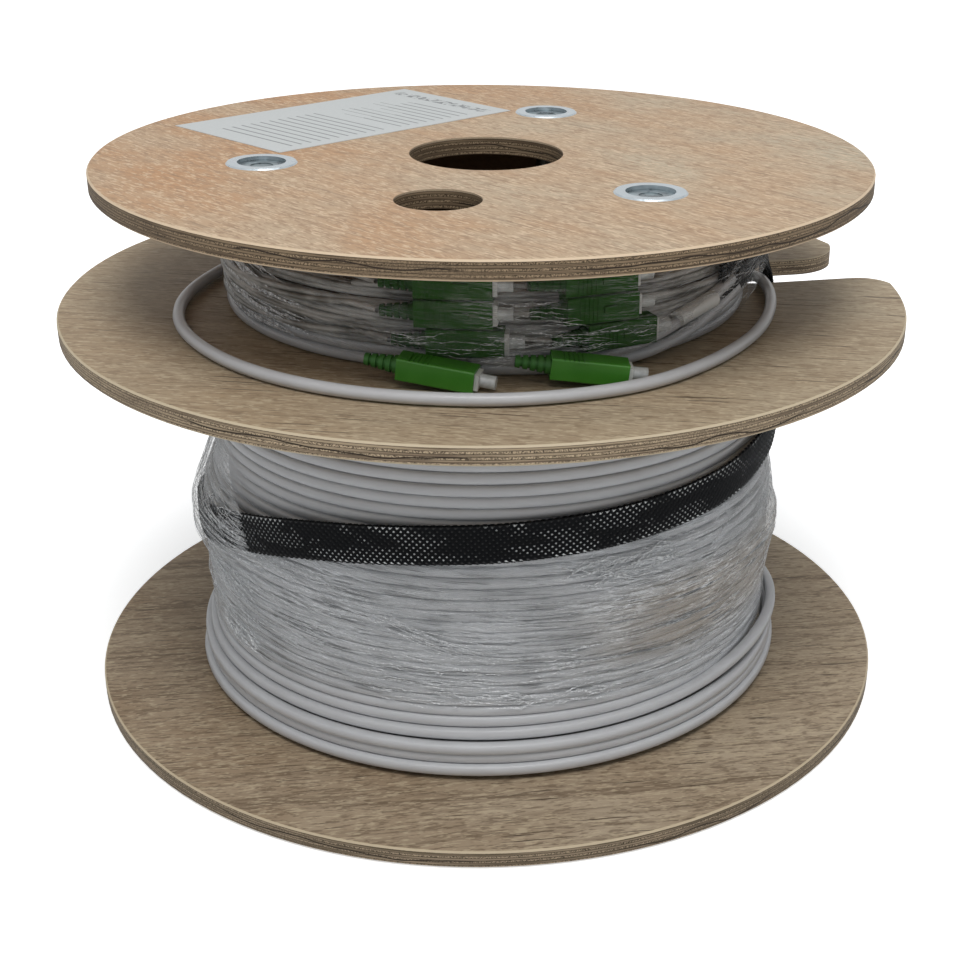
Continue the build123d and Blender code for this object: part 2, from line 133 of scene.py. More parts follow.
# The creases are drawn as near-white threads: painted glints on real creases.
# Fields of short creases on the films: how many, the range of their angles, of their heights and
# of their half lengths in degrees, the spread of their slopes, their width, and their middle slope
lower_creases = (
    (26, (-150, -130), (82, 92), (1.0, 3.5), 0.7, 0.24, -0.5),
    (46, (-147, -134), (34, 42), (0.8, 3.0), 0.6, 0.26, -0.3),
    (70, (-154, -130), (42, 66), (1.5, 7), 0.35, 0.14, -0.25),
    (70, (-68, -48), (79, 90), (1.0, 4.5), 0.5, 0.26, 0.1),
    (220, (-130, -35), (36, 80), (2, 12), 0.07, 0.08, -0.06),
    (120, (-105, -60), (34, 56), (0.8, 4), 0.15, 0.17, -0.06),
    (40, (-90, -62), (34, 40), (0.6, 2.5), 0.5, 0.24, -0.06),
    (130, (-36, 2), (48, 96), (1.0, 6), 0.5, 0.13, 0.2),
)
upper_creases = (
    (60, (-156, -134), (168, 181), (2.5, 8), 0.08, 0.3, -0.42),
    (80, (-152, -124), (157, 169), (3, 9), 0.08, 0.3, -0.12),
    (70, (-82, -68), (158, 178), (1.0, 4), 0.2, 0.1, -0.06),
    (90, (-104, -48), (157, 168), (1.0, 5), 0.15, 0.1, -0.06),
    (50, (-45, -8), (158, 182), (1.5, 6), 0.2, 0.12, -0.06),
)


def put_in_scene(item):
    bpy.context.scene.collection.objects.link(item)


def make_camera():
    """Camera at the photograph's viewing angle."""
    yaw, pitch, roll = radians(3.5523), radians(26.0609), radians(0.9988)
    level = Vector((cos(yaw), sin(yaw), 0))
    ahead = Vector((-sin(yaw), cos(yaw), 0))
    up = Vector((0, 0, 1))
    forward = ahead * cos(pitch) - up * sin(pitch)
    upright = ahead * sin(pitch) + up * cos(pitch)
    right = level * cos(roll) + upright * sin(roll)
    above = upright * cos(roll) - level * sin(roll)
    data = bpy.data.cameras.new("camera")
    data.lens = 58.52
    data.sensor_width = 36
    data.shift_x = -0.1042
    data.shift_y = 0.0625
    data.clip_start = 0.01
    camera = bpy.data.objects.new("camera", data)
    turn = Matrix((right, above, -forward)).transposed().to_4x4()
    camera.matrix_world = Matrix.Translation((0.0719, -0.5685, 0.3250)) @ turn
    put_in_scene(camera)
    bpy.context.scene.camera = camera


class Nodes:
    """Short calls that build one node tree."""

    def __init__(self, tree):
        self.tree = tree

    def connect(self, socket, value):
        if isinstance(value, bpy.types.NodeSocket):
            self.tree.links.new(value, socket)
        elif isinstance(value, tuple) and len(value) == 3 and socket.type == "RGBA":
            socket.default_value = (*value, 1)
        else:
            socket.default_value = value

    def node(self, kind, inputs=(), **settings):
        made = self.tree.nodes.new(kind)
        for key, value in settings.items():
            setattr(made, key, value)
        for key, value in dict(inputs).items():
            self.connect(made.inputs[key], value)
        return made

    def math(self, operation, a, b=0.0, c=0.0, clamp=False):
        made = self.node("ShaderNodeMath", {0: a, 1: b, 2: c}, operation=operation)
        made.use_clamp = clamp
        return made.outputs[0]

    def times(self, a, b):
        return self.math("MULTIPLY", a, b)

    def plus(self, a, b, clamp=False):
        return self.math("ADD", a, b, clamp=clamp)

    def minus(self, a, b):
        return self.math("SUBTRACT", a, b)


# The place that the drum stands in

def make_world():
    """Even light from all sides, and a white background for the camera and for reflections."""
    world = bpy.data.worlds.new("studio")
    bpy.context.scene.world = world
    world.use_nodes = True
    world.node_tree.nodes.clear()
    nodes = Nodes(world.node_tree)
    path = nodes.node("ShaderNodeLightPath").outputs
    seen = nodes.math("MAXIMUM", path["Is Camera Ray"], path["Is Glossy Ray"])
    seen = nodes.math("MAXIMUM", seen, path["Is Transmission Ray"])
    light = nodes.node("ShaderNodeBackground", {"Color": (0.93, 0.97, 1.0), "Strength": 0.30})
    shown = nodes.node("ShaderNodeBackground", {"Color": (1.0, 1.0, 1.0), "Strength": 1.0})
    blend = nodes.node("ShaderNodeMixShader", {0: seen, 1: light.outputs[0], 2: shown.outputs[0]})
    nodes.node("ShaderNodeOutputWorld", {"Surface": blend.outputs[0]})


def area_light(name, place, size, power):
    """Round soft light that points at the drum's lower half."""
    data = bpy.data.lights.new(name, "AREA")
    data.shape = "DISK"
    data.size = size
    data.energy = power
    light = bpy.data.objects.new(name, data)
    light.location = place
    light.rotation_mode = "QUATERNION"
    aim = Vector((0, 0, 0.1)) - Vector(place)
    light.rotation_quaternion = aim.to_track_quat("-Z", "Y")
    put_in_scene(light)


def make_floor():
    """White floor that keeps the drum's shadow and fades into the background."""
    mesh = bpy.data.meshes.new("floor")
    reach = 6.0
    corners = [(-reach, -reach, 0), (reach, -reach, 0), (reach, reach, 0), (-reach, reach, 0)]
    mesh.from_pydata(corners, [], [(0, 1, 2, 3)])
    floor = bpy.data.objects.new("floor", mesh)
    floor.location.z = -0.4 * mm
    put_in_scene(floor)
    white_floor = bpy.data.materials.new("floor_white")
    white_floor.use_nodes = True
    white_floor.node_tree.nodes.clear()
    nodes = Nodes(white_floor.node_tree)
    diffuse = nodes.node("ShaderNodeBsdfDiffuse", {"Color": (0.9, 0.9, 0.9)})
    place = nodes.node("ShaderNodeTexCoord").outputs["Object"]
    distance = nodes.node("ShaderNodeVectorMath", {0: place}, operation="LENGTH").outputs["Value"]
    strength = nodes.node("ShaderNodeMapRange", {0: distance, 1: 0.17, 2: 0.5, 3: 0.5, 4: 0.85})
    seen = nodes.node("ShaderNodeLightPath").outputs["Is Camera Ray"]
    shown = nodes.times(seen, strength.outputs["Result"])
    glow = nodes.node("ShaderNodeEmission", {"Strength": shown})
    both = nodes.node("ShaderNodeAddShader", {0: diffuse.outputs[0], 1: glow.outputs[0]})
    nodes.node("ShaderNodeOutputMaterial", {"Surface": both.outputs[0]})
    mesh.materials.append(white_floor)


# Materials

class Paint(Nodes):
    """One material: a principled shader and short calls for the nodes that feed it."""

    def __init__(self, name, **values):
        self.material = bpy.data.materials.new(name)
        self.material.use_nodes = True
        super().__init__(self.material.node_tree)
        self.shader = self.tree.nodes["Principled BSDF"]
        for socket, value in values.items():
            self.feed(socket.replace("_", " "), value)

    def feed(self, socket, value):
        self.connect(self.shader.inputs[socket], value)

    def place(self):
        return self.node("ShaderNodeTexCoord").outputs["Object"]

    def split(self, vector):
        return self.node("ShaderNodeSeparateXYZ", {0: vector}).outputs

    def map(self, vector, scale=(1, 1, 1), turn=0.0, move=(0, 0, 0)):
        """The vector moved, then turned about Z, then stretched."""
        moved = self.node("ShaderNodeVectorMath", {0: vector, 1: move}, operation="ADD")
        inputs = {0: moved.outputs[0], "Angle": turn}
        turned = self.node("ShaderNodeVectorRotate", inputs, rotation_type="Z_AXIS")
        inputs = {0: turned.outputs[0], 1: scale}
        return self.node("ShaderNodeVectorMath", inputs, operation="MULTIPLY").outputs[0]

    def noise(self, vector, scale=1.0, detail=2.0, roughness=0.5, distortion=0.0):
        inputs = {"Vector": vector, "Scale": scale, "Detail": detail}
        inputs.update({"Roughness": roughness, "Distortion": distortion})
        return self.node("ShaderNodeTexNoise", inputs).outputs[0]

    def step(self, value, low, high, start=0.0, end=1.0):
        """Smooth change from start to end as value goes from low to high."""
        inputs = {0: value, 1: low, 2: high, 3: start, 4: end}
        made = self.node("ShaderNodeMapRange", inputs, interpolation_type="SMOOTHSTEP")
        return made.outputs[0]

    def apart(self, a, b):
        """Distance between two values."""
        return self.math("ABSOLUTE", self.minus(a, b))

    def mix(self, share, a, b):
        """Colour between a and b."""
        made = self.node("ShaderNodeMix", data_type="RGBA")
        self.connect(made.inputs[0], share)
        self.connect(made.inputs[6], a)
        self.connect(made.inputs[7], b)
        return made.outputs[2]

    def bump(self, height, strength, distance):
        inputs = {"Height": height, "Strength": strength, "Distance": distance}
        self.feed("Normal", self.node("ShaderNodeBump", inputs).outputs[0])


def scaled(colour, share):
    return tuple(part * share for part in colour)


def veneer(paint, place, east, look):
    """Face of rotary-cut veneer with fibres, veins and open pores, paler towards +X as painted
    sheen, and the surface's relief.
    """
    grain = look["grain"]
    cloud = paint.noise(paint.map(place, (16, 26, 16), grain), 1.0, 3.0, 0.6)
    tone_and_painted_sheen = paint.times(paint.step(cloud, 0.3, 0.7), 0.55)
    # Paler towards +X: painted sheen on the side of the faces that catches the light.
    tone_and_painted_sheen = paint.plus(tone_and_painted_sheen, paint.step(east, -0.13, 0.13, 0.0, 0.45))
    face = paint.mix(tone_and_painted_sheen, look["deep"], look["pale"])
    vein = paint.noise(paint.map(place, (9, 190, 60), grain, (0.4, 0.1, 0)), 1.0, 4.0, 0.6, 0.6)
    face = paint.mix(paint.step(vein, 0.45, 0.75, 0.0, look["veins"]), face, look["fleck"])
    fibre = paint.noise(paint.map(place, (190, 900, 400), grain), 1.0, 2.0, 0.65)
    face = paint.mix(paint.step(fibre, 0.5, 0.62, 0.0, 0.6), face, look["fleck"])
    shine = paint.noise(paint.map(place, (220, 950, 400), grain, (0.9, 0.3, 0)), 1.0, 2.0, 0.65)
    face = paint.mix(paint.step(shine, 0.52, 0.64, 0.0, 0.6), face, look["edge"])
    pore = paint.noise(paint.map(place, (30, 950, 300), grain, (0.2, 0.7, 0)), 1.0, 2.0, 0.5)
    pore = paint.step(pore, 0.64, 0.7, 0.0, look["pores"])
    face = paint.mix(pore, face, scaled(look["fleck"], 0.38))
    return face, paint.minus(fibre, pore)


def sawn_edge(paint, place, east, north, height, look):
    """Seven plies cut along and across their grain, glue lines and a split, and the end specks."""
    grain = look["grain"]
    above = paint.minus(height, look["low"])
    wave = paint.noise(paint.map(place, (22, 22, 40)), 1.0, 3.0, 0.55)
    level = paint.math("DIVIDE", above, ply_thickness / 7)
    level = paint.plus(level, paint.times(wave, 0.55))
    layer = paint.math("PINGPONG", level, 1.0)
    run = paint.times(east, cos(grain) / flange_radius)
    run = paint.plus(run, paint.times(north, -sin(grain) / flange_radius))
    across = paint.step(paint.math("ABSOLUTE", run), 0.35, 0.75)
    across = paint.apart(across, paint.step(layer, 0.42, 0.58))
    streak = paint.noise(paint.map(place, (30, 30, 2100)), 1.0, 3.0, 0.6)
    long_grain = paint.mix(paint.step(streak, 0.42, 0.58), look["rim_light"], look["rim_dark"])
    speck = paint.noise(place, 2300, 2.0, 0.7)
    deep_cell = scaled(look["rim_dark"], 0.35)
    end_grain = paint.mix(paint.step(speck, 0.42, 0.6), scaled(look["rim_light"], 1.5), deep_cell)
    rim = paint.mix(paint.times(across, 0.8), long_grain, end_grain)
    rim = paint.mix(paint.step(paint.apart(layer, 0.5), 0.06, 0.2, 0.8, 0.0), rim, deep_cell)

    drift = paint.noise(paint.map(place, (26, 26, 0), 0, (0.3, 0.5, 0)), 1.0, 2.0, 0.5)
    drift = paint.times(paint.minus(drift, 0.5), 9 * mm)
    split = paint.apart(paint.minus(above, 0.42 * ply_thickness), drift)
    split = paint.step(split, 0.12 * mm, 0.34 * mm, 1.0, 0.0)
    torn = paint.noise(paint.map(place, (11, 11, 0), 0, (0.1, 0.9, 0)), 1.0, 2.0, 0.5)
    split = paint.times(split, paint.step(torn, 0.47, 0.53))
    rim = paint.mix(split, rim, (0.03, 0.02, 0.013))
    outline = paint.apart(above, ply_thickness)
    rim = paint.mix(paint.step(outline, 0.5 * mm, 0.75 * mm, 0.7, 0.0), rim, look["edge"])
    return rim, speck


def plywood(name, **look):
    """Veneer on the two faces, the plies on every sawn edge, and a pale line where they meet."""
    paint = Paint(name, Roughness=0.6, Specular_IOR_Level=0.25)
    place = paint.place()
    east, north, height = paint.split(place)
    face, relief = veneer(paint, place, east, look)
    rim, speck = sawn_edge(paint, place, east, north, height, look)
    facing = paint.node("ShaderNodeNewGeometry").outputs["Normal"]
    upright = paint.math("ABSOLUTE", paint.split(facing)[2])
    side = paint.mix(paint.step(upright, 0.3, 0.6), rim, look["edge"])
    paint.feed("Base Color", paint.mix(paint.step(upright, 0.8, 0.95), side, face))
    paint.bump(paint.plus(relief, paint.times(speck, 0.6)), 0.35, 0.25 * mm)
    return paint.material


def zinc():
    """Bright zinc plate, duller and darker inside a nut's dish: painted shade in the recess."""
    paint = Paint("zinc_plate", Metallic=1.0)
    place = paint.place()
    cloud = paint.noise(place, 220, 4.0, 0.6)
    ring = paint.mix(cloud, (0.30, 0.345, 0.37), (0.52, 0.57, 0.60))
    # Painted shade: the zinc below a nut's proud rim, inside its dish, is darker.
    dish = paint.mix(paint.step(cloud, 0.35, 0.65), (0.06, 0.08, 0.09), (0.24, 0.30, 0.32))
    off_middle = paint.apart(paint.split(place)[2], top_face / 2)
    proud = paint.step(off_middle, top_face / 2 - 1.2 * mm, top_face / 2 - 0.4 * mm)
    paint.feed("Base Color", paint.mix(proud, dish, ring))
    paint.feed("Roughness", paint.step(cloud, 0.3, 0.7, 0.24, 0.45))
    paint.bump(paint.noise(place, 700, 3.0), 0.3, 0.3 * mm)
    return paint.material


def cardboard():
    """Spiral-wound brown board."""
    paint = Paint("core_board", Roughness=0.85)
    place = paint.place()
    fibre = paint.noise(paint.map(place, (300, 300, 900)), 1.0, 4.0, 0.6)
    paint.feed("Base Color", paint.mix(fibre, (0.10, 0.062, 0.038), (0.24, 0.165, 0.105)))
    paint.bump(fibre, 0.4, 0.2 * mm)
    return paint.material


def jacket():
    """Smooth pale cable jacket with faint handling marks."""
    paint = Paint("cable_jacket_paint", Specular_IOR_Level=0.45, Coat_Weight=0.05)
    place = paint.place()
    mark = paint.noise(paint.map(place, (70, 70, 500)), 1.0, 4.0, 0.65)
    paint.feed("Base Color", paint.mix(mark, (0.47, 0.47, 0.485), (0.62, 0.63, 0.645)))
    paint.feed("Roughness", paint.step(mark, 0.3, 0.7, 0.34, 0.5))
    paint.bump(paint.noise(place, 1400, 2.0), 0.06, 0.1 * mm)
    return paint.material


def leg_jacket():
    """Thin leg jackets, greyer than the cable's."""
    paint = Paint("leg_jacket_paint", Specular_IOR_Level=0.4)
    place = paint.place()
    mark = paint.noise(paint.map(place, (60, 60, 260)), 1.0, 3.0, 0.6)
    colour = paint.mix(paint.step(mark, 0.35, 0.65), (0.18, 0.174, 0.157), (0.50, 0.49, 0.47))
    paint.feed("Base Color", colour)
    paint.feed("Roughness", paint.step(mark, 0.3, 0.7, 0.35, 0.55))
    return paint.material


def braid():
    """Black monofilament ribbons with the filaments' fine ridges."""
    paint = Paint("braid_black", Specular_IOR_Level=0.06)
    place = paint.place()
    fine = paint.noise(place, 2600, 2.0, 0.6)
    paint.feed("Base Color", paint.mix(fine, (0.003, 0.0035, 0.004), (0.011, 0.012, 0.014)))
    paint.feed("Roughness", paint.step(fine, 0.3, 0.7, 0.3, 0.55))
    paint.bump(fine, 0.5, 0.1 * mm)
    return paint.material


def film(name, haze, glint, shade, seed, tan_strength=0.0):
    """Clear stretch film: grey where flat, with white and dark lines along its creases, the white
    partly milky plastic and partly painted glints, the dark painted reflections.
    """
    paint = Paint(name, Roughness=0.16, Specular_IOR_Level=0.8, IOR=1.5)
    east, north, height = paint.split(paint.place())
    tilt = paint.times(east, 0.07)
    leaned = {0: east, 1: north, 2: paint.plus(height, tilt)}
    place = paint.node("ShaderNodeCombineXYZ", leaned).outputs[0]
    move = (seed, seed * 0.7, 0)
    wide = paint.noise(paint.map(place, (22, 22, 420), 0, move), 1.0, 3.0, 0.6, 0.5)
    fine = paint.noise(paint.map(place, (48, 48, 1200), 0, move), 1.0, 3.0, 0.65, 0.4)
    dark = paint.noise(paint.map(place, (34, 34, 950), 0, (seed + 0.4, 0.2, 0)), 1.0, 3.0, 0.6, 0.4)
    patch = paint.noise(paint.map(place, (22, 22, 40), 0, move), 1.0, 3.0, 0.6)
    # White lines along the creases: partly the plastic's milky whitening, partly painted glints.
    crease = paint.step(paint.apart(fine, 0.5), 0.0, 0.045, 1.0, 0.0)
    crease = paint.times(crease, paint.step(patch, 0.38, 0.62, 0.25, 1.0))
    fold = paint.step(paint.apart(wide, 0.5), 0.0, 0.03, 1.0, 0.0)
    fold = paint.times(fold, paint.step(patch, 0.35, 0.6))
    white = paint.math("MAXIMUM", crease, paint.times(fold, 0.8))
    # Dark lines: painted dark reflections of the surroundings, bent by the creases.
    grey = paint.step(dark, 0.52, 0.62)
    edge_on = paint.node("ShaderNodeLayerWeight", {"Blend": 0.35}).outputs["Facing"]
    edge_on = paint.math("POWER", edge_on, 3.0)
    clear = paint.plus(haze, paint.times(edge_on, 0.15))
    # Tan towards +X, between heights of about 36 and 82 mm.
    below = paint.step(height, 68 * mm, 82 * mm, tan_strength, 0.0)
    tan_share = paint.times(paint.step(east, 20 * mm, 80 * mm), below)
    tan_share = paint.times(tan_share, paint.step(height, 36 * mm, 52 * mm))
    clear = paint.plus(clear, paint.times(tan_share, 0.4))
    white_share = paint.times(white, glint)
    lines = paint.math("MAXIMUM", white_share, paint.times(grey, shade))
    paint.feed("Alpha", paint.plus(clear, lines, clamp=True))
    colour = paint.mix(tan_share, (0.50, 0.52, 0.53), (0.46, 0.36, 0.25))
    colour = paint.mix(grey, colour, (0.10, 0.11, 0.115))
    paint.feed("Base Color", paint.mix(white, colour, (0.95, 0.97, 1.0)))
    relief = paint.plus(paint.times(wide, 1.4), fine)
    paint.bump(relief, 0.8, 0.6 * mm)
    return paint.material


def glinting_film_fold():
    """Gathered film: bright threads of creased plastic, their near-white colour a painted glint."""
    paint = Paint("film_fold_paint", Roughness=0.12, Specular_IOR_Level=0.9)
    place = paint.place()
    fine = paint.noise(place, 700, 3.0, 0.6)
    paint.feed("Base Color", paint.mix(fine, (0.80, 0.82, 0.84), (0.98, 0.99, 1.0)))
    paint.feed("Alpha", paint.step(fine, 0.35, 0.7, 0.25, 0.95))
    paint.bump(fine, 0.6, 0.3 * mm)
    return paint.material


def moulded(name, dark, light, roughness, grain=900.0, gloss=0.45):
    """Moulded plastic or rubber with a fine grain."""
    paint = Paint(name, Specular_IOR_Level=gloss)
    place = paint.place()
    cloud = paint.noise(place, 120, 3.0, 0.55)
    paint.feed("Base Color", paint.mix(cloud, dark, light))
    paint.feed("Roughness", paint.step(cloud, 0.3, 0.7, roughness, roughness + 0.12))
    paint.bump(paint.noise(place, grain, 2.0), 0.12, 0.1 * mm)
    return paint.material


def clear_cap():
    """Clear plastic of the caps, a little clouded."""
    paint = Paint("clear_cap_paint", Roughness=0.12, Specular_IOR_Level=0.8)
    place = paint.place()
    cloud = paint.noise(place, 300, 2.0)
    paint.feed("Base Color", paint.mix(cloud, (0.72, 0.76, 0.76), (0.92, 0.95, 0.95)))
    paint.feed("Alpha", paint.step(cloud, 0.3, 0.7, 0.45, 0.62))
    return paint.material


def paper():
    """Blank ruled form on matt paper: two blocks of rows and a heading of broken marks."""
    paint = Paint("label_form", Roughness=0.6)
    place = paint.place()
    own = paint.map(place, (1, 1, 1), -label_turn, (-label_centre[0], -label_centre[1], 0))
    along, across, _ = paint.split(own)
    fibre = paint.noise(place, 700, 3.0, 0.6)
    sheet = paint.mix(fibre, (0.47, 0.49, 0.49), (0.56, 0.575, 0.57))

    def band(value, low, high):
        after = paint.math("GREATER_THAN", value, low * mm)
        return paint.times(after, paint.math("LESS_THAN", value, high * mm))

    row_pitch = 4.4 * mm
    rows = paint.step(paint.math("PINGPONG", along, row_pitch / 2), 0.35 * mm, 0.55 * mm, 1.0, 0.0)
    row = paint.math("FLOOR", paint.math("DIVIDE", along, row_pitch))
    length = paint.node("ShaderNodeTexWhiteNoise", {"W": row}, noise_dimensions="1D")
    reach = paint.math("MULTIPLY_ADD", length.outputs["Value"], 26 * mm, -8 * mm)
    left_block = paint.times(band(along, -50, -4), band(across, -27, 16))
    right_block = paint.times(band(along, 4, 42), band(across, -27, 27))
    right_block = paint.times(right_block, paint.math("LESS_THAN", across, reach))
    heading = paint.times(band(along, 47, 52.5), band(across, -28, 28))
    heading = paint.times(heading, paint.step(paint.noise(own, 420, 2.0), 0.44, 0.56))
    lines = paint.times(rows, paint.math("MAXIMUM", left_block, right_block))
    lines = paint.times(paint.math("MAXIMUM", lines, heading), 0.75)
    paint.feed("Base Color", paint.mix(lines, sheet, (0.10, 0.105, 0.11)))
    paint.bump(fibre, 0.1, 0.1 * mm)
    return paint.material


def filling():
    """Pale legs in places and black mesh in others."""
    paint = Paint("filling_paint", Roughness=0.5)
    place = paint.place()
    patch = paint.noise(paint.map(place, (45, 45, 190)), 1.0, 2.0, 0.5, 0.6)
    pale = paint.step(patch, 0.49, 0.57)
    paint.feed("Base Color", paint.mix(pale, (0.006, 0.007, 0.008), (0.80, 0.82, 0.82)))
    return paint.material


# Meshes

class Shape:
    """Vertices and faces gathered from several parts."""

    def __init__(self):
        self.points = []
        self.faces = []
        self.count = 0

    def add(self, points, faces):
        self.points.append(np.asarray(points, float).reshape(-1, 3))
        self.faces.append(np.asarray(faces, int) + self.count)
        self.count += len(self.points[-1])

    def piece(self, name, material, replaces=()):
        mesh = bpy.data.meshes.new(name)
        faces = [tuple(face) for block in self.faces for face in block.tolist()]
        mesh.from_pydata(np.concatenate(self.points).tolist(), [], faces)
        mesh.polygons.foreach_set("use_smooth", [True] * len(mesh.polygons))
        mesh.materials.append(material)
        made = bpy.data.objects.new(name, mesh)
        put_in_scene(made)
        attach(made, body)
        if replaces:
            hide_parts(*replaces)


def grid_faces(rows, columns, wrap_rows=False, wrap_columns=False):
    """Quads between the points of a grid, its rows or columns closed on request."""
    index = np.arange(rows * columns).reshape(rows, columns)
    if wrap_rows:
        index = np.vstack([index, index[:1]])
    if wrap_columns:
        index = np.hstack([index, index[:, :1]])
    corners = (index[:-1, :-1], index[:-1, 1:], index[1:, 1:], index[1:, :-1])
    return np.stack([corner.ravel() for corner in corners], axis=1)


def unit(vectors):
    return vectors / np.linalg.norm(vectors, axis=-1, keepdims=True)


def round_axis(radius, angle, height):
    """Points at an angle in radians round the drum's axis."""
    radius, angle, height = np.broadcast_arrays(radius, angle, height)
    return np.stack([radius * np.cos(angle), radius * np.sin(angle), height], axis=-1)


def tube(shape, path, radius, sides=8, closed=False, capped=False, power=1.0):
    """Tube along close points, round, or flatter on its faces with a power below 1."""
    ahead = np.roll(path, -1, axis=0) - np.roll(path, 1, axis=0)
    if not closed:
        ahead[0] = path[1] - path[0]
        ahead[-1] = path[-1] - path[-2]
    ahead = unit(ahead)
    out = path * (1, 1, 0) + (0, 0, 1e-4)
    out = unit(out - ahead * np.sum(out * ahead, axis=1, keepdims=True))
    up = np.cross(ahead, out)
    turn = np.linspace(0, 2 * pi, sides, endpoint=False)
    width = np.broadcast_to(np.asarray(radius, float), len(path))[:, None, None]
    outward = np.sign(np.cos(turn)) * np.abs(np.cos(turn)) ** power
    upward = np.sign(np.sin(turn)) * np.abs(np.sin(turn)) ** power
    ring = out[:, None] * outward[None, :, None] + up[:, None] * upward[None, :, None]
    points = path[:, None] + width * ring
    shape.add(points, grid_faces(len(path), sides, closed, True))
    if not capped:
        return
    reach = float(np.max(width))
    for end, way in ((0, -1), (-1, 1)):
        out_of_end = way * ahead[end] * reach
        rim = path[end] + out_of_end * 0.45 + (points[end] - path[end]) * 0.75
        tip = path[end] + out_of_end * 0.7
        shape.add(np.vstack([points[end], rim]), grid_faces(2, sides, False, True))
        shape.add(np.vstack([rim, tip]), [(k, (k + 1) % sides, sides) for k in range(sides)])


def degrees_from(angle, centre):
    """Difference in degrees, the short way round, from a centre to an angle in radians."""
    return (np.degrees(angle) - centre + 180) % 360 - 180


def wobble(angle, rng, reach, waves=5):
    """Smooth periodic variation round the drum, about as large as reach."""
    total = np.zeros_like(angle)
    for wave in range(1, waves + 1):
        total += rng.normal() * np.cos(wave * angle + rng.uniform(0, 2 * pi)) / wave**0.8
    return reach * total / 1.6


def by_angle(table, angle):
    """Value of a table of angles in degrees, read smoothly at an angle in radians."""
    spots, values = np.array(table, float).T
    fine = np.linspace(-180, 180, 721)
    rough = np.interp(fine, spots, values)
    kernel = np.hanning(17)
    kernel /= kernel.sum()
    smooth = np.convolve(np.concatenate([rough[-9:-1], rough, rough[1:9]]), kernel, "valid")
    return np.interp(degrees_from(angle, 0), fine, smooth)


def winding_outside(height, angle):
    """Outer radius of the tight part of the lower winding at a height and an angle."""
    heights, radii = np.array(winding_profile).T * mm
    outer = np.interp(height, heights, radii)
    for centre, width, depth, low, high in drawn_in:
        apart = degrees_from(angle, centre)
        share = np.clip((height / mm - low) / (high - low), 0, 1)
        outer = outer - depth * mm * share**2 * (3 - 2 * share) * np.exp(-((apart / width) ** 2))
    return outer


def curve_through(points, count):
    """Smooth line through the points, evenly spaced along its length."""
    points = np.asarray(points, float)
    before = np.vstack([2 * points[0] - points[1], points, 2 * points[-1] - points[-2]])
    dense = []
    for a, b, c, d in zip(before, before[1:], before[2:], before[3:]):
        t = np.linspace(0, 1, 24, endpoint=False)[:, None]
        dense.append(
            0.5 * ((2 * b) + (c - a) * t + (2 * a - 5 * b + 4 * c - d) * t**2
                   + (3 * b - a - 3 * c + d) * t**3)
        )
    dense = np.vstack(dense + [points[-1:]])
    run = np.concatenate([[0], np.cumsum(np.linalg.norm(np.diff(dense, axis=0), axis=1))])
    even = np.linspace(0, run[-1], count)
    return np.stack([np.interp(even, run, dense[:, k]) for k in range(3)], axis=1), run[-1]


def route_points(route):
    """Points of a route given as angle in degrees, radius and height in millimetres."""
    return [
        (radius * mm * cos(radians(angle)), radius * mm * sin(radians(angle)), height * mm)
        for angle, radius, height in route
    ]


def make_crossing_cable(material):
    """The loose turn of cable on the middle flange, up through the slot."""
    curve = bpy.data.curves.new("crossing_cable_curve", "CURVE")
    curve.dimensions = "3D"
    curve.bevel_depth = cable_radius
    curve.bevel_resolution = 4
    curve.resolution_u = 16
    spline = curve.splines.new("NURBS")
    spline.points.add(len(crossing_route) - 1)
    for point, (x, y, height) in zip(spline.points, crossing_route):
        point.co = (x * mm, y * mm, upper_floor + (height + crossing_lift) * mm, 1)
    spline.order_u = 3
    spline.use_endpoint_u = True
    cable = bpy.data.objects.new("crossing_cable_loop", curve)
    put_in_scene(cable)
    cable.data.materials.append(material)
    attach(cable, body)
    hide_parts("crossing_cable")


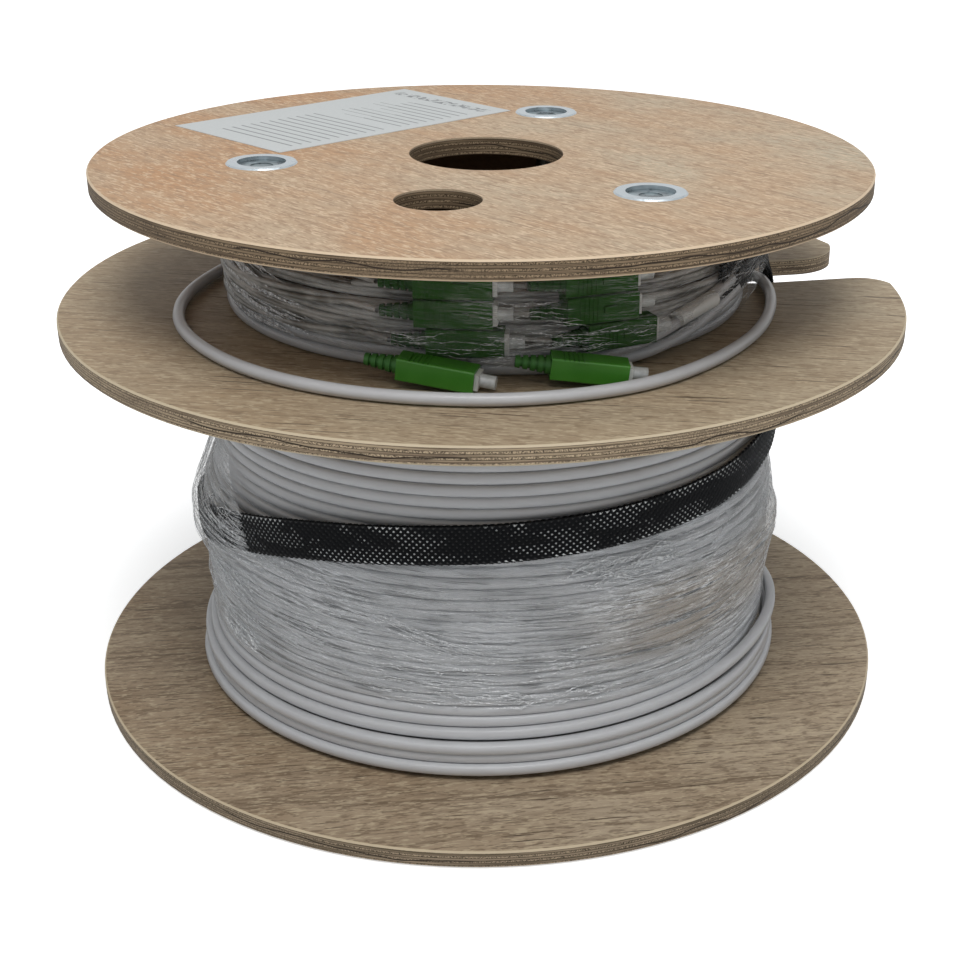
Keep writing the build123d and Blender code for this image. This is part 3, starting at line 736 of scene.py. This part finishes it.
def make_lower_winding(material):
    """The outer layer as one long coil, the tops of four layers inside it, and a plain core."""
    rng = np.random.default_rng(11)
    shape = Shape()
    steps_a_turn = 150
    low = lower_floor + cable_radius
    top = lower_ceiling - 0.4 * mm - cable_radius
    turn = np.arange(0, (top - low) / cable_pitch, 1 / steps_a_turn)
    angle = radians(90) + 2 * pi * turn
    height = low + cable_pitch * turn
    counts, radii = np.array(loose_turns).T
    loose = np.interp(turn, counts, radii * mm)
    outside = np.where(turn < counts[-1], loose, winding_outside(height, angle))
    sway = np.zeros_like(turn)
    for wave in range(1, 4):
        drift = rng.uniform(0, 2 * pi) + 0.35 * turn
        sway += rng.normal() * np.sin(wave * angle + drift) / wave
    outside += 0.22 * mm * sway
    outside += 0.18 * mm * np.interp(turn, np.arange(0, 40, 0.37), rng.normal(size=109))
    # One turn at the foot stands out at the right
    stray = np.exp(-((degrees_from(angle, -8) / 26) ** 2)) * np.exp(-(((turn - 3.73) / 0.5) ** 2))
    outside += stray * 4.2 * mm
    height += stray * 5.0 * mm
    height += 0.12 * mm * sway * np.exp(-(((turn - 16) / 14) ** 2))
    path = round_axis(outside - cable_radius, angle, height)
    tube(shape, path, cable_radius, 12, capped=True, power=0.64)

    around = np.linspace(0, 2 * pi, 120, endpoint=False)
    for layer in range(4):
        ring = winding_outside(top, around) - (6.1 + 4.2 * layer) * mm
        ring = ring + wobble(around, rng, 0.15 * mm)
        tube(shape, round_axis(ring, around, top), cable_radius, 8, closed=True)
    core_foot = lower_floor + 0.3 * mm
    core_top = top - 1 * mm
    core_heights = np.array([core_foot, core_foot, 78 * mm, core_top, core_top])
    core_radii = np.full((5, len(around)), 91 * mm)
    core_radii[1] = 107.6 * mm
    core_radii[2] = 108.2 * mm
    core_radii[3] = winding_outside(top, around) - 3 * mm
    core = round_axis(core_radii, around[None], core_heights[:, None])
    shape.add(core, grid_faces(5, len(around), False, True))
    shape.piece("lower_winding_coil", material, ["lower_winding"])


def sleeve_frames(count):
    """Middle line of the sleeve with its outward and across directions."""
    path, length = curve_through(route_points(sleeve_route), count)
    ahead = unit(np.gradient(path, axis=0))
    out = path * (1, 1, 0)
    across = unit(np.cross(ahead, out))
    away = unit(np.cross(across, ahead))
    return path, across, away, length


def make_sleeve(material):
    """Braided ribbons laid over and under each other round a flattened tube."""
    shape = Shape()
    perimeter = 4 * sleeve_half_width + 2 * sleeve_half_thickness
    _, _, _, length = sleeve_frames(400)
    tube_turns = length / perimeter
    crossings = 2 * tube_turns * braid_carriers
    count = int(crossings * 2)
    path, across, away, _ = sleeve_frames(count)
    share = np.linspace(0, 1, count)
    phase = share * crossings

    def surface(around):
        """Point and outward direction on the flattened tube, from a share of its perimeter."""
        around = around % 1.0
        front = around < 0.5
        x = np.where(front, 4 * around - 1, 3 - 4 * around)
        bulge = np.sqrt(np.clip(1 - np.abs(x) ** 5, 0.0, 1))
        side = np.where(front, 1.0, -1.0) * bulge
        spot = path + across * (x * sleeve_half_width)[:, None]
        spot = spot + away * (side * sleeve_half_thickness)[:, None]
        lean = np.sign(x) * np.abs(x) ** 14
        normal = unit(away * (side + 1e-3)[:, None] + across * lean[:, None])
        return spot, normal

    for family in (1, -1):
        for carrier in range(braid_carriers):
            around = carrier / braid_carriers + family * tube_turns * share
            spot, normal = surface(around)
            crimp = family * braid_crimp * np.cos(pi * phase)
            spot = spot + normal * crimp[:, None]
            ahead = unit(np.gradient(spot, axis=0))
            lateral = unit(np.cross(normal, ahead))
            edge = lateral * braid_ribbon_half_width
            lower = normal * 0.1 * mm
            rows = np.stack([spot - edge - lower, spot, spot + edge - lower], axis=1)
            shape.add(rows, grid_faces(count, 3))
    shape.piece("sleeve_braid", material, ["braided_sleeve"])


def make_sleeve_filling(material):
    """What lies pressed flat inside the sleeve and shows through its mesh."""
    shape = Shape()
    count = 500
    path, across, away, _ = sleeve_frames(count)
    side = across * (sleeve_half_width - 0.7 * mm)
    raised = path + away * (sleeve_half_thickness - 0.32 * mm)
    shape.add(np.stack([raised - side, raised + side], axis=1), grid_faces(count, 2))
    shape.piece("sleeve_filling", material)


def route_degrees(angle):
    """Angle in degrees, counted from the start of the sleeve's route."""
    return (np.degrees(angle) + 200) % 360 - 200


def sleeve_height(angle):
    """Height of the sleeve's middle line where it lies on the winding."""
    rows = np.array(sleeve_route[:sleeve_rows_on_winding])
    return np.interp(route_degrees(angle), rows[:, 0], rows[:, 2] * mm)


def lower_film_outside(height, angle):
    """Radius of the lower film: on the turns, a tent over the sleeve, and loose at the right."""
    outer = winding_outside(height, angle) + 0.45 * mm
    ripple = np.cos(2 * pi * (height - lower_floor - cable_radius) / cable_pitch)
    outer = outer + 0.16 * mm * ripple
    turned = route_degrees(angle)
    at_left = 1 / (1 + np.exp((turned + 131) / 2.0)) / (1 + np.exp(-(turned + 196) / 2.0))
    off_sleeve = np.abs(height - sleeve_height(angle))
    tent = 115.6 * mm - 0.42 * np.maximum(off_sleeve - 7 * mm, 0)
    outer = outer + at_left * np.maximum(tent - outer, 0)
    at_right = np.exp(-(((np.degrees(angle) - 2) / 22) ** 2))
    loose = at_right * np.exp(-(((height - 64 * mm) / (9 * mm)) ** 2))
    return outer + loose * 2.8 * mm


def wrinkle(angle, height, centre, middle, slope, long_side, width, size):
    """Low ridge on a film, long in the angle and narrow in height."""
    apart = degrees_from(angle, centre)
    line = height - middle - slope * apart
    return size * np.exp(-((apart / long_side) ** 2)) * np.exp(-((line / width) ** 2))


def make_lower_film(material):
    """Film wrapped round the winding, with long creases that fan out from the left."""
    rng = np.random.default_rng(5)
    shape = Shape()
    columns, rows = 700, 128
    angle = np.linspace(-pi, pi, columns, endpoint=False)[None]
    share = np.linspace(0, 1, rows)[:, None]
    low = by_angle(film_foot, angle) * mm
    high = by_angle(film_head, angle) * mm
    low = low + wobble(angle, rng, 0.5 * mm, 14)
    height = low + (high - low) * share
    outer = lower_film_outside(height, angle)
    for _ in range(230):
        centre = rng.uniform(-180, 180)
        middle = rng.uniform(30, 132) * mm
        long_side = rng.uniform(6, 30)
        slope = rng.normal(-0.06, 0.12) * mm
        width = rng.uniform(0.4, 1.1) * mm
        size = rng.uniform(0.15, 0.6) * mm
        outer = outer + wrinkle(angle, height, centre, middle, slope, long_side, width, size)
    shape.add(round_axis(outer, angle, height), grid_faces(rows, columns, False, True))
    shape.piece("lower_film_wrap", material, ["lower_film"])


def thread(shape, rng, start, end, radius_at, width, bow=0.0):
    """One crease that stands out of the film, from one angle and height to another."""
    count = 16
    share = np.linspace(0, 1, count)
    degrees_round = start[0] + (end[0] - start[0]) * share
    height = start[1] + (end[1] - start[1]) * share + bow * np.sin(pi * share)
    height = height + 0.25 * np.interp(share, np.linspace(0, 1, 7), rng.normal(size=7))
    angle = np.radians(degrees_round)
    thick = width * mm * rng.uniform(0.6, 1.3) * np.cos(np.linspace(-1.5, 1.5, count))
    z = height * mm
    tube(shape, round_axis(radius_at(angle, z), angle, z), thick, 4)


def film_threads(shape, rng, radius_at, fields):
    """Short creases scattered over fields of the film."""
    for count, angles, heights, span, spread, width, lean in fields:
        for _ in range(count):
            centre = rng.uniform(*angles)
            height = rng.uniform(*heights)
            reach = rng.uniform(*span)
            drop = rng.normal(lean, spread) * reach
            start = (centre - reach, height - drop)
            end = (centre + reach, height + drop)
            thread(shape, rng, start, end, radius_at, width, rng.normal(0, 0.15))


def make_film_folds(material):
    """Bright creases of both films, their white a painted glint, thickest where the film is
    gathered.
    """
    rng = np.random.default_rng(8)
    lower = Shape()

    def on_lower(angle, height):
        return lower_film_outside(height, angle) + 0.45 * mm

    # Fans over the sleeve at the left, up from it, and down at the front
    for _ in range(24):
        start = (rng.uniform(-166, -144), rng.uniform(70, 93))
        end = (rng.uniform(-128, -106), 76 + 0.35 * (start[1] - 80) + rng.normal(0, 1.5))
        thread(lower, rng, start, end, on_lower, 0.17, rng.normal(0, 0.8))
    for _ in range(14):
        start = (rng.uniform(-168, -150), rng.uniform(78, 92))
        end = (start[0] + rng.normal(-3, 3), rng.uniform(104, 128))
        thread(lower, rng, start, end, on_lower, 0.18)
    for _ in range(12):
        start = (rng.uniform(-112, -100), rng.uniform(68, 74))
        end = (rng.uniform(-84, -72), rng.uniform(49, 56))
        thread(lower, rng, start, end, on_lower, 0.13, rng.normal(-1.5, 0.6))
    film_threads(lower, rng, on_lower, lower_creases)
    lower.piece("lower_film_crease_glints", material)

    upper = Shape()
    hull = upper_outline()

    def on_upper(angle, height):
        return band_radius(hull, angle) + 0.35 * mm

    film_threads(upper, rng, on_upper, upper_creases)
    upper.piece("upper_film_crease_glints", material)


def band_radius(corners, angle):
    """Radius at which a ray from the axis meets the closed band."""
    x, y = corners.T
    side_x, side_y = (np.roll(corners, -1, axis=0) - corners).T
    ray_x, ray_y = np.cos(angle)[:, None], np.sin(angle)[:, None]
    cross = ray_x * side_y - ray_y * side_x
    reach = (x * side_y - y * side_x) / cross
    along = (x * ray_y - y * ray_x) / cross
    good = (reach > 0) & (along >= -1e-9) & (along <= 1 + 1e-9)
    return np.where(good, reach, 0).max(axis=1)


def upper_outline():
    """Plan outline of the upper film, pulled over the bundle, the plugs and the sleeve's end."""
    around = np.linspace(-pi, pi, 90, endpoint=False)
    spots = [tuple(round_axis(bundle_radius + 0.6 * mm, a, 0)[:2]) for a in around]
    for plug_angle, _ in row_plugs:
        turn = radians(plug_angle + 90)
        for along, out in plug_outline:
            x, y = along * mm, -out * mm
            spots.append((x * cos(turn) - y * sin(turn), x * sin(turn) + y * cos(turn)))
    for sleeve_angle, radius, _ in sleeve_route[sleeve_first_row_on_bundle:]:
        outside = (radius + 2.2) * mm
        turn = radians(sleeve_angle)
        spots.append((outside * cos(turn), outside * sin(turn)))
    return np.array([spots[k] for k in convex_hull_2d(spots)])


def make_upper_film(material):
    """Film pulled tight over the bundle and the plugs, drawn in above and below them."""
    rng = np.random.default_rng(21)
    shape = Shape()
    columns, rows = 540, 44
    angle = np.linspace(-pi, pi, columns, endpoint=False)[None]
    hull = band_radius(upper_outline(), angle[0])[None]
    low = upper_floor + 3.0 * mm + wobble(angle, rng, 0.8 * mm, 9)
    high = upper_floor + 38.5 * mm + wobble(angle, rng, 0.7 * mm, 9)
    share = np.linspace(0, 1, rows)[:, None]
    height = low + (high - low) * share
    at_foot = np.clip((0.22 - share) / 0.22, 0, 1) ** 1.4
    at_head = np.clip((share - 0.93) / 0.07, 0, 1)
    tight = bundle_radius + 0.8 * mm
    outer = hull + (tight - hull) * at_foot * 0.85
    outer = outer - at_head * 1.2 * mm
    for _ in range(120):
        centre = rng.uniform(-180, 180)
        middle = upper_floor + rng.uniform(4, 37) * mm
        slope = rng.normal(0, 0.14) * mm
        width = rng.uniform(0.5, 1.2) * mm
        size = rng.uniform(0.1, 0.45) * mm
        long_side = rng.uniform(6, 24)
        outer = outer + wrinkle(angle, height, centre, middle, slope, long_side, width, size)
    shape.add(round_axis(outer, angle, height), grid_faces(rows, columns, False, True))
    shape.piece("upper_film_wrap", material, ["upper_film"])


def make_bundle(legs, cable):
    """Thin legs wound side by side, looser ones over them, and two turns of cable at their foot."""
    rng = np.random.default_rng(3)
    shape = Shape()
    around = np.linspace(0, 2 * pi, 150, endpoint=False)
    leg = 1.05 * mm

    def strand(ring, height):
        tube(shape, round_axis(ring, around, height), leg, 7, closed=True)

    for row in range(11):
        z = upper_floor + (5.6 + 2.05 * row) * mm
        height = z + wobble(around, rng, 0.45 * mm, 3)
        ring = bundle_radius - leg - 0.2 * mm + wobble(around, rng, 0.25 * mm, 4)
        strand(ring, height)
    for layer in range(3):
        ring = bundle_radius - (3.1 + 1.5 * layer) * mm + wobble(around, rng, 0.2 * mm, 4)
        height = upper_floor + (26.4 - 0.8 * layer) * mm + wobble(around, rng, 0.4 * mm, 3)
        strand(ring, height)
    for _ in range(9):
        tilt = rng.uniform(2.5, 6.5) * mm
        middle = upper_floor + rng.uniform(12, 19) * mm
        height = middle + tilt * np.sin(around + rng.uniform(0, 2 * pi))
        height = height + wobble(around, rng, 0.6 * mm, 4)
        ring = bundle_radius + 0.25 * mm + wobble(around, rng, 0.3 * mm, 4)
        strand(ring, height)
    shape.piece("leg_bundle_strands", legs, ["upper_winding"])

    foot = Shape()
    for radius, z in ((94.0, 2.4), (94.2, 6.4)):
        ring = radius * mm + wobble(around, rng, 0.2 * mm, 4)
        height = upper_floor + z * mm + wobble(around, rng, 0.15 * mm, 3)
        tube(foot, round_axis(ring, around, height), cable_radius, 9, closed=True)
    foot.piece("bundle_foot_turns", cable)


def make_leads(legs, cable):
    """Legs from the boots into the bundle, and the cable's run from the sleeve's end."""
    shape = Shape()
    leg = 1.0 * mm
    for plug_angle, height in row_plugs:
        turn = radians(plug_angle + 90)
        foot = upper_floor + height * mm
        local = [np.array([-plug_back, -plug_middle_radius, foot])]
        for back, radius, drop in lead_way:
            angle = (plug_back + back * mm) / (100 * mm)
            x, y = -radius * mm * sin(angle), -radius * mm * cos(angle)
            local.append(np.array([x, y, foot - drop * mm]))
        rotation = np.array([[cos(turn), -sin(turn), 0], [sin(turn), cos(turn), 0], [0, 0, 1]])
        path, _ = curve_through([rotation @ point for point in local], 40)
        tube(shape, path, leg, 7)
    shape.piece("plug_leads", legs)

    run = Shape()
    for route in run_in_routes:
        path, _ = curve_through(route_points(route), 60)
        tube(run, path, cable_radius, 10, capped=True)
    run.piece("cable_run_in", cable)


# Assembly

make_camera()
white = jacket()
make_crossing_cable(white)
make_world()
area_light("key", (0.14, -0.84, 1.5), 0.8, 15.0)
area_light("overhead", (0.0, 0.15, 1.5), 1.1, 4.2)
make_floor()

plywoods = {
    "top_flange": plywood(
        "plywood_top_paint",
        low=upper_ceiling,
        grain=radians(40),
        pale=(0.46, 0.385, 0.28),
        deep=(0.45, 0.25, 0.125),
        fleck=(0.28, 0.175, 0.105),
        edge=(0.68, 0.53, 0.37),
        rim_light=(0.27, 0.195, 0.12),
        rim_dark=(0.12, 0.082, 0.05),
        pores=0.35,
        veins=0.3,
    ),
    # Face colours partly lowered as painted shade, which the top flange casts on this flange.
    "middle_flange": plywood(
        "plywood_middle_paint",
        low=lower_ceiling,
        grain=radians(3),
        pale=(0.41, 0.335, 0.235),
        deep=(0.375, 0.28, 0.18),
        fleck=(0.22, 0.155, 0.097),
        edge=(0.56, 0.465, 0.325),
        rim_light=(0.42, 0.325, 0.215),
        rim_dark=(0.18, 0.13, 0.085),
        pores=0.85,
        veins=0.4,
    ),
    "bottom_flange": plywood(
        "plywood_bottom_paint",
        low=0.0,
        grain=radians(-13),
        pale=(0.46, 0.37, 0.265),
        deep=(0.30, 0.215, 0.135),
        fleck=(0.14, 0.095, 0.058),
        edge=(0.55, 0.45, 0.31),
        rim_light=(0.32, 0.245, 0.165),
        rim_dark=(0.14, 0.105, 0.065),
        pores=0.95,
        veins=0.85,
    ),
}
metal = zinc()
board = cardboard()
green = moulded("plug_green", (0.045, 0.20, 0.018), (0.07, 0.28, 0.028), 0.3)
green_soft = moulded("boot_green", (0.025, 0.115, 0.016), (0.04, 0.17, 0.025), 0.5, 500.0)
# Plugs 1 to 6 lie under the film in the top flange's shade: darker copies of the greens above,
# painted shade.
shaded_row_green = moulded("shaded_row_plug_green", (0.015, 0.068, 0.007), (0.024, 0.098, 0.010), 0.5, gloss=0.1)
shaded_row_soft = moulded("shaded_row_boot_green", (0.014, 0.055, 0.010), (0.024, 0.085, 0.016), 0.6, 500.0, 0.1)
white_plastic = moulded("plug_white", (0.62, 0.62, 0.60), (0.78, 0.78, 0.76), 0.32)
cap_clear = clear_cap()
finishes = {
    **plywoods,
    "lower_barrel": board,
    "upper_barrel": board,
    "label": paper(),
    "breakout_tube": white_plastic,
}
for number in (1, 2, 3):
    for kind in ("tie_rod", "top_nut", "bottom_nut"):
        finishes[f"{kind}_{number}"] = metal
for number in range(1, 9):
    finishes[f"plug_{number}_housing"] = shaded_row_green if number < 7 else green
    finishes[f"plug_{number}_body"] = white_plastic
    finishes[f"plug_{number}_boot"] = shaded_row_soft if number < 7 else green_soft
    finishes[f"plug_{number}_cap"] = cap_clear
for node, finish in finishes.items():
    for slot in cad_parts[node].material_slots:
        slot.material = finish

make_lower_winding(white)
make_sleeve(braid())
make_sleeve_filling(filling())
lower_clear = film("lower_film_paint", haze=0.055, glint=0.75, shade=0.62, seed=0.3, tan_strength=0.9)
make_lower_film(lower_clear)
make_film_folds(glinting_film_fold())
grey = leg_jacket()
make_bundle(grey, white)
make_leads(grey, white)
make_upper_film(film("upper_film_paint", haze=0.015, glint=0.32, shade=0.12, seed=1.7))

bpy.context.scene.view_settings.view_transform = "Standard"
